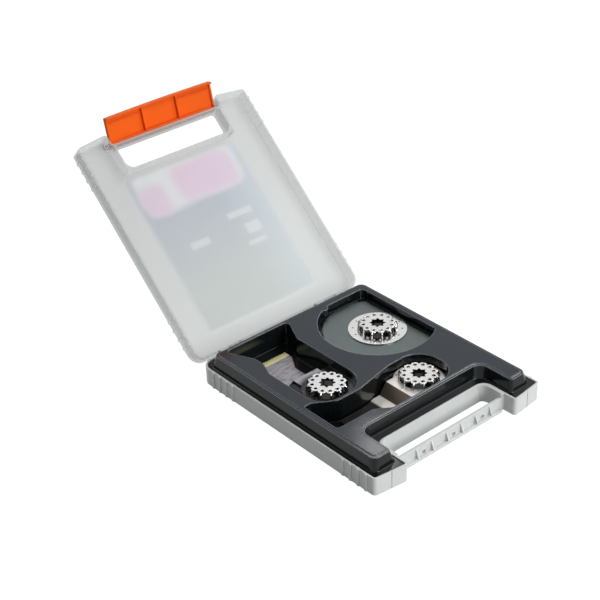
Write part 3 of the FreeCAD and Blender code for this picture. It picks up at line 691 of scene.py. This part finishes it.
def streaked_blade(settings):
    """Wide blade: ground across its length, with a painted shadow round its hub."""
    material, tree, shader, tone = start_metal(
        "blade_steel", settings.body_colour, roughness=0.30)
    place = object_place(tree)
    stretched = vector_node(tree, "MULTIPLY", place, STREAK_STRETCH)
    grind = noise(tree, stretched, STREAK_SCALE, detail=4.0, roughness=0.6)["Fac"]
    streak = ramp(tree, grind, STREAK_FADE, (0.0, STREAK_SHARE))
    tone = blend_colour(tree, streak, tone, settings.streak_colour)
    # Painted shadow: a dark ring round the wide hub
    middle = top_middle("wide_blade_hub")
    middle.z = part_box("wide_blade_body")[1][2]
    reach = vector_node(tree, "DISTANCE", place, middle)
    ring = ramp(tree, reach, HUB_SHADOW_FADE, (HUB_SHADOW_SHARE, 0.0))
    tone = blend_colour(tree, ring, tone, settings.blade_shade_colour)
    set_inputs(tree, shader, Base_Color=tone)
    return material


# Star hubs and weld spots

def geometry_tree(name, counts, sizes):
    """Empty geometry tree with named counts and sizes and a material."""
    tree = bpy.data.node_groups.new(name, "GeometryNodeTree")
    tree.interface.new_socket("Geometry", in_out="OUTPUT", socket_type=GEOMETRY)
    for kind, labels in ((INT, counts), (FLOAT, sizes), (MATERIAL, ("Material",))):
        for label in labels:
            tree.interface.new_socket(label, in_out="INPUT", socket_type=kind)
    return tree, tree.nodes.new("NodeGroupInput").outputs


def through(tree, kind, geometry, **values):
    """Geometry passed through one node."""
    node = add_node(tree, kind, **values)
    tree.links.new(geometry, node.inputs[0])
    return node.outputs[0]


def finish_tree(tree, given, geometry):
    """Ends a tree with Realize Instances and Set Material."""
    real = through(tree, "GeometryNodeRealizeInstances", geometry)
    painted = through(tree, "GeometryNodeSetMaterial", real, Material=given["Material"])
    add_node(tree, "NodeGroupOutput", Geometry=painted)
    return tree


def combined(tree, x=0.0, z=0.0):
    """Vector in the XZ plane of sockets or numbers."""
    return add_node(tree, "ShaderNodeCombineXYZ", X=x, Z=z).outputs[0]


def moved(tree, geometry, x=0.0, z=0.0):
    """Geometry shifted by sockets or numbers."""
    return through(tree, "GeometryNodeTransform", geometry,
                   Translation=combined(tree, x, z))


def turned_copies(tree, instance, count, start=0.0):
    """Copies of an instance turned about Z, count to a full turn."""
    points = add_node(tree, "GeometryNodePoints", Count=count)
    number = tree.nodes.new("GeometryNodeInputIndex")
    step = math_node(tree, "DIVIDE", 2 * math.pi, count)
    angle = math_node(tree, "MULTIPLY", number.outputs[0], step)
    turn = combined(tree, z=math_node(tree, "ADD", angle, start))
    return through(tree, "GeometryNodeInstanceOnPoints", points.outputs[0],
                   Instance=instance, Rotation=turn)


def joined(tree, *pieces):
    """Several geometries as one."""
    node = tree.nodes.new("GeometryNodeJoinGeometry")
    for piece in pieces:
        tree.links.new(piece, node.inputs[0])
    return node.outputs[0]


def lobed_rim(tree, given):
    """Outline of equal round lobes: one circle, pushed out by the nearest lobe."""
    points = math_node(tree, "MULTIPLY", given["Lobes"], LOBE_POINTS)
    rim = add_node(tree, "GeometryNodeCurvePrimitiveCircle", mode="RADIUS", Radius=0.01,
                   Resolution=points)
    place = tree.nodes.new("GeometryNodeInputPosition").outputs[0]
    around = math_node(tree, "ARCTAN2", axis(tree, place, "Y"), axis(tree, place, "X"))
    step = math_node(tree, "DIVIDE", 2 * math.pi, given["Lobes"])
    half = math_node(tree, "MULTIPLY", step, 0.5)
    shifted = math_node(tree, "ADD", around, half)
    wrapped = math_node(tree, "FLOORED_MODULO", shifted, step)
    local = math_node(tree, "SUBTRACT", wrapped, half)
    radius = given["Plate Radius"]
    across = math_node(tree, "MULTIPLY", radius, math_node(tree, "SINE", local))
    inward = math_node(tree, "MULTIPLY", radius, math_node(tree, "COSINE", local))
    lobe = math_node(tree, "MULTIPLY", given["Lobe Radius"], given["Lobe Radius"])
    width = math_node(tree, "MULTIPLY", across, across)
    left = math_node(tree, "SUBTRACT", lobe, width)
    bulge = math_node(tree, "SQRT", math_node(tree, "MAXIMUM", left, 0.0))
    reach = math_node(tree, "ADD", inward, bulge)
    outward = vector_node(tree, "NORMALIZE", place)
    target = add_node(tree, "ShaderNodeVectorMath", operation="SCALE", Vector=outward,
                      Scale=reach)
    return through(tree, "GeometryNodeSetPosition", rim.outputs[0],
                   Position=target.outputs[0])


def hub_plate(tree, given):
    """Lobed plate with a star hole and round holes, its top at zero."""
    hole = add_node(tree, "GeometryNodeCurvePrimitiveCircle", mode="RADIUS",
                    Resolution=16, Radius=given["Hole Radius"])
    one = moved(tree, hole.outputs[0], x=given["Plate Radius"])
    holes = through(tree, "GeometryNodeRealizeInstances",
                    turned_copies(tree, one, given["Lobes"]))
    star = add_node(tree, "GeometryNodeCurveStar", Points=8,
                    Inner_Radius=given["Star Root"], Outer_Radius=given["Star Tip"])
    outline = joined(tree, lobed_rim(tree, given), holes, star.outputs[0])
    sheet = through(tree, "GeometryNodeFillCurve", outline)
    raised = through(tree, "GeometryNodeExtrudeMesh", sheet, mode="FACES",
                     Individual=False, Offset=(0.0, 0.0, 1.0),
                     Offset_Scale=given["Plate"])
    under = through(tree, "GeometryNodeFlipFaces", sheet)
    closed = through(tree, "GeometryNodeMergeByDistance", joined(tree, raised, under),
                     Distance=0.00001)
    return moved(tree, closed, z=math_node(tree, "MULTIPLY", given["Plate"], -1.0))


def hub_legs(tree, given):
    """Flat legs, one to a lobe, bent down from the plate to the feet."""
    root = math_node(tree, "ADD", given["Plate Radius"], LEG_REACH)
    top = math_node(tree, "MULTIPLY", given["Plate"], LEG_TOP)
    knee = math_node(tree, "MULTIPLY", given["Plate"], LEG_KNEE)
    foot = math_node(tree, "MULTIPLY", given["Height"], -1.0)
    path = add_node(tree, "GeometryNodeCurveQuadraticBezier", Resolution=6,
                    Start=combined(tree, root, top),
                    Middle=combined(tree, given["Foot Radius"], knee),
                    End=combined(tree, given["Foot Radius"], foot))
    strip = add_node(tree, "GeometryNodeCurvePrimitiveQuadrilateral", mode="RECTANGLE",
                     Width=given["Plate"], Height=given["Leg Width"])
    leg = through(tree, "GeometryNodeCurveToMesh", path.outputs[0],
                  Profile_Curve=strip.outputs[0], Fill_Caps=True)
    return turned_copies(tree, leg, given["Lobes"])


def star_hub_tree():
    """Lobed plate standing on bent legs."""
    tree, given = geometry_tree(
        "star_hub", counts=("Lobes",),
        sizes=("Plate Radius", "Lobe Radius", "Hole Radius", "Star Tip", "Star Root",
               "Plate", "Foot Radius", "Leg Width", "Height"))
    hub = joined(tree, hub_plate(tree, given), hub_legs(tree, given))
    return finish_tree(tree, given, hub)


def weld_ring_tree():
    """Ring of low weld spots, each a small frustum."""
    tree, given = geometry_tree(
        "weld_ring", counts=("Count",),
        sizes=("Ring Radius", "Spot Radius", "Height", "Turn"))
    narrow = math_node(tree, "MULTIPLY", given["Spot Radius"], SPOT_TAPER)
    spot = add_node(tree, "GeometryNodeMeshCone", Vertices=12, Radius_Top=narrow,
                    Radius_Bottom=given["Spot Radius"], Depth=given["Height"])
    one = moved(tree, spot.outputs[0], x=given["Ring Radius"])
    ring = turned_copies(tree, one, given["Count"], given["Turn"])
    return finish_tree(tree, given, ring)


def baked(name, tree, values, place):
    """Plain mesh object made by a geometry tree, with its place in its mesh."""
    maker = bpy.data.objects.new(name + "_maker", bpy.data.meshes.new(name + "_maker"))
    bpy.context.scene.collection.objects.link(maker)
    modifier = maker.modifiers.new("nodes", "NODES")
    modifier.node_group = tree
    for item in tree.interface.items_tree:
        if item.in_out == "INPUT":
            modifier[item.identifier] = values[item.name]
    graph = bpy.context.evaluated_depsgraph_get()
    graph.update()
    mesh = bpy.data.meshes.new_from_object(maker.evaluated_get(graph))
    maker.modifiers.remove(modifier)
    bpy.data.objects.remove(maker)
    if not mesh.polygons:
        raise RuntimeError(name + " has no faces")
    mesh.transform(Matrix.Translation(place))
    mesh.name = name
    piece = bpy.data.objects.new(name, mesh)
    bpy.context.scene.collection.objects.link(piece)
    return piece


# Stage

def seen_directly(tree):
    """1 for the camera, mirrors and clear glass, 0 for soft light."""
    path = tree.nodes.new("ShaderNodeLightPath")
    shiny = math_node(tree, "MAXIMUM", path.outputs["Is Glossy Ray"],
                      path.outputs["Is Transmission Ray"])
    return math_node(tree, "MAXIMUM", path.outputs["Is Camera Ray"], shiny)


def make_floor():
    """Wide floor that looks white and keeps a faint shadow."""
    mesh = bpy.data.meshes.new("floor")
    form = bmesh.new()
    bmesh.ops.create_grid(form, x_segments=1, y_segments=1, size=FLOOR_HALF)
    form.to_mesh(mesh)
    form.free()
    floor = bpy.data.objects.new("floor", mesh)
    floor.location.z = -FLOOR_DROP
    bpy.context.scene.collection.objects.link(floor)
    material, tree, shader = start_material("floor_white")
    set_inputs(tree, shader, Base_Color=FLOOR_COLOUR, Roughness=0.9)
    white = add_node(tree, "ShaderNodeEmission", Strength=FLOOR_GLOW)
    faint = mixed(tree, FLOOR_WHITE, shader.outputs["BSDF"], white.outputs["Emission"])
    show(tree, mixed(tree, seen_directly(tree), shader.outputs["BSDF"], faint))
    mesh.materials.append(material)


def make_world(scene, fill):
    """White studio, brighter on the right, plain white where it is seen directly."""
    world = bpy.data.worlds.new("studio")
    world.use_nodes = True
    tree = world.node_tree
    tree.nodes.clear()
    place = tree.nodes.new("ShaderNodeTexCoord").outputs["Generated"]
    side = vector_node(tree, "DOT_PRODUCT", place, BRIGHT_SIDE)
    bright = ramp(tree, side, STUDIO_TURN, [fill * light for light in STUDIO_LIGHT])
    seen = add_node(tree, "ShaderNodeMix", data_type="FLOAT",
                    Factor=seen_directly(tree), A=bright, B=1.0)
    glow = add_node(tree, "ShaderNodeBackground", Strength=seen.outputs[0])
    add_node(tree, "ShaderNodeOutputWorld", Surface=glow.outputs["Background"])
    scene.world = world


def add_lamp(name, place, target, size, power):
    """Square area lamp turned to a target."""
    data = bpy.data.lights.new(name, "AREA")
    data.shape = "SQUARE"
    data.size = size
    data.energy = power
    lamp = bpy.data.objects.new(name, data)
    lamp.location = place
    aim = Vector(target) - Vector(place)
    lamp.rotation_euler = aim.to_track_quat("-Z", "Y").to_euler()
    bpy.context.scene.collection.objects.link(lamp)


def make_camera(scene, lens):
    """Camera at the photograph's viewpoint."""
    data = bpy.data.cameras.new("camera")
    data.sensor_width = SENSOR_WIDTH
    data.lens = lens
    data.clip_start, data.clip_end = CAMERA_CLIP
    camera = bpy.data.objects.new("camera", data)
    turn = Matrix((CAMERA_RIGHT, CAMERA_UP, CAMERA_BACK)).transposed().to_4x4()
    camera.matrix_world = Matrix.Translation(CAMERA_PLACE) @ turn
    scene.collection.objects.link(camera)
    scene.camera = camera


# Operators

class CASE_OT_shells(bpy.types.Operator):
    """Finishes the moulded base, the lid, the latch and their steel pins"""
    bl_idname = "case.shells"
    bl_label = "Base, lid and latch"

    def execute(self, context):
        settings = context.scene.case_shells
        build_shared_groups(context.scene)
        dress(base_plastic(settings), "base_shell")
        dress(lid_plastic(settings, context.scene.case_label), "lid_shell")
        dress(latch_plastic(settings), "latch_flap")
        dress(metal("pin_steel", PIN_COLOUR, roughness=0.3),
              "hinge_pin_left", "hinge_pin_right", "latch_rod")
        return {"FINISHED"}


class CASE_OT_label(bpy.types.Operator):
    """Prints the lid's label"""
    bl_idname = "case.label"
    bl_label = "Lid label"

    def execute(self, context):
        build_shared_groups(context.scene)
        dress(label_print(context.scene.case_label), "lid_label")
        return {"FINISHED"}


class CASE_OT_tray(bpy.types.Operator):
    """Finishes the formed tray"""
    bl_idname = "case.tray"
    bl_label = "Formed tray"

    def execute(self, context):
        build_shared_groups(context.scene)
        dress(tray_plastic(context.scene.case_tray), "blade_tray")
        return {"FINISHED"}


class CASE_OT_hubs(bpy.types.Operator):
    """Makes the three stamped star hubs"""
    bl_idname = "case.hubs"
    bl_label = "Star hubs"

    def execute(self, context):
        settings = context.scene.case_hubs
        build_shared_groups(context.scene)
        tree = star_hub_tree()
        # side is the share of the tint kept in the painted shade on the hubs' legs and
        # sides
        steel = metal("hub_steel", settings.hub_colour, roughness=0.16, spots=0.1,
                      side=0.4)
        dress(steel, "segment_flange")
        for node, (body, *_ring) in BLADES.items():
            low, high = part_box(node)
            values = {
                "Lobes": settings.lobes, "Lobe Radius": settings.lobe_radius,
                "Plate": settings.plate, "Plate Radius": settings.plate_radius,
                "Hole Radius": settings.hole_radius, "Leg Width": settings.leg_width,
                "Star Tip": settings.star_outer, "Star Root": settings.star_inner,
                "Foot Radius": settings.foot_radius, "Height": high[2] - low[2],
                "Material": steel,
            }
            piece = baked(node + "_stamped", tree, values, top_middle(node))
            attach(piece, body)
            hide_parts(node)
        return {"FINISHED"}


class CASE_OT_welds(bpy.types.Operator):
    """Makes the rings of weld spots round the hubs"""
    bl_idname = "case.welds"
    bl_label = "Weld spots"

    def execute(self, context):
        settings = context.scene.case_hubs
        build_shared_groups(context.scene)
        tree = weld_ring_tree()
        burnt = metal("weld_steel", settings.spot_colour, roughness=0.4)
        for hub, (body, node, slot, radius, count, turn) in BLADES.items():
            low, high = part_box(node)
            place = top_middle(hub)
            place.z = low[2]
            values = {
                "Count": count, "Ring Radius": radius, "Turn": math.radians(turn),
                "Spot Radius": settings.spot_radius, "Height": high[2] - low[2],
                "Material": burnt,
            }
            piece = baked(node + "_ring", tree, values, place)
            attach(piece, body)
            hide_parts(node)
        return {"FINISHED"}


class CASE_OT_blades(bpy.types.Operator):
    """Finishes the blades"""
    bl_idname = "case.blades"
    bl_label = "Blades"

    def execute(self, context):
        settings = context.scene.case_blades
        build_shared_groups(context.scene)
        # Painted shade for the narrow blade's teeth, a lighter copy of the dark blade
        # shade
        dark = scaled(settings.blade_shade_colour, 2.0)
        dress(metal("disc_steel", settings.disc_colour, roughness=0.34, spots=0.15),
              "segment_disc")
        dress(streaked_blade(settings), "wide_blade_body")
        dress(shaded_narrow_blade(settings), "narrow_blade_body")
        dress(metal("tooth_coat", settings.tooth_colour, roughness=0.36),
              "wide_blade_teeth")
        dress(metal("narrow_tooth_shade", dark, roughness=0.36), "narrow_blade_teeth")
        return {"FINISHED"}


class CASE_OT_stage(bpy.types.Operator):
    """Floor, studio light and camera"""
    bl_idname = "case.stage"
    bl_label = "Stage"

    def execute(self, context):
        settings = context.scene.case_stage
        make_floor()
        make_world(context.scene, settings.fill)
        for name, (place, target, size, power) in LAMPS.items():
            add_lamp(name, place, target, size, settings.key * power)
        make_camera(context.scene, settings.lens)
        context.scene.view_settings.view_transform = "Standard"
        return {"FINISHED"}


# Panel

class CASE_PT_panel(bpy.types.Panel):
    """Lists the settings and the pieces they make"""
    bl_idname = "CASE_PT_panel"
    bl_label = "Blade case"
    bl_space_type = "VIEW_3D"
    bl_region_type = "UI"
    bl_category = "Blade case"

    def draw(self, context):
        for group, operators in PANEL_ROWS:
            box = self.layout.box()
            settings = getattr(context.scene, group)
            for name in settings.__annotations__:
                box.prop(settings, name)
            for operator in operators:
                box.operator(operator)


PANEL_ROWS = (
    ("case_shells", ("case.shells",)),
    ("case_label", ("case.label",)),
    ("case_tray", ("case.tray",)),
    ("case_hubs", ("case.hubs", "case.welds")),
    ("case_blades", ("case.blades",)),
    ("case_stage", ("case.stage",)),
)
SETTINGS = {
    "case_shells": ShellSettings,
    "case_label": LabelSettings,
    "case_tray": TraySettings,
    "case_hubs": HubSettings,
    "case_blades": BladeSettings,
    "case_stage": StageSettings,
}
CLASSES = (
    *SETTINGS.values(),
    CASE_OT_shells, CASE_OT_label, CASE_OT_tray, CASE_OT_hubs, CASE_OT_welds,
    CASE_OT_blades, CASE_OT_stage, CASE_PT_panel,
)


def register():
    """Registers the classes and the scene's settings."""
    for cls in CLASSES:
        bpy.utils.register_class(cls)
    for name, cls in SETTINGS.items():
        setattr(bpy.types.Scene, name, PointerProperty(type=cls))


def unregister():
    """Undoes register."""
    for name in SETTINGS:
        delattr(bpy.types.Scene, name)
    for cls in reversed(CLASSES):
        bpy.utils.unregister_class(cls)


def main():
    """Builds the looks in order."""
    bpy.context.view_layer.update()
    register()
    for _group, operators in PANEL_ROWS:
        for operator in operators:
            area, name = operator.split(".")
            getattr(getattr(bpy.ops, area), name)()


if __name__ == "__main__":
    main()
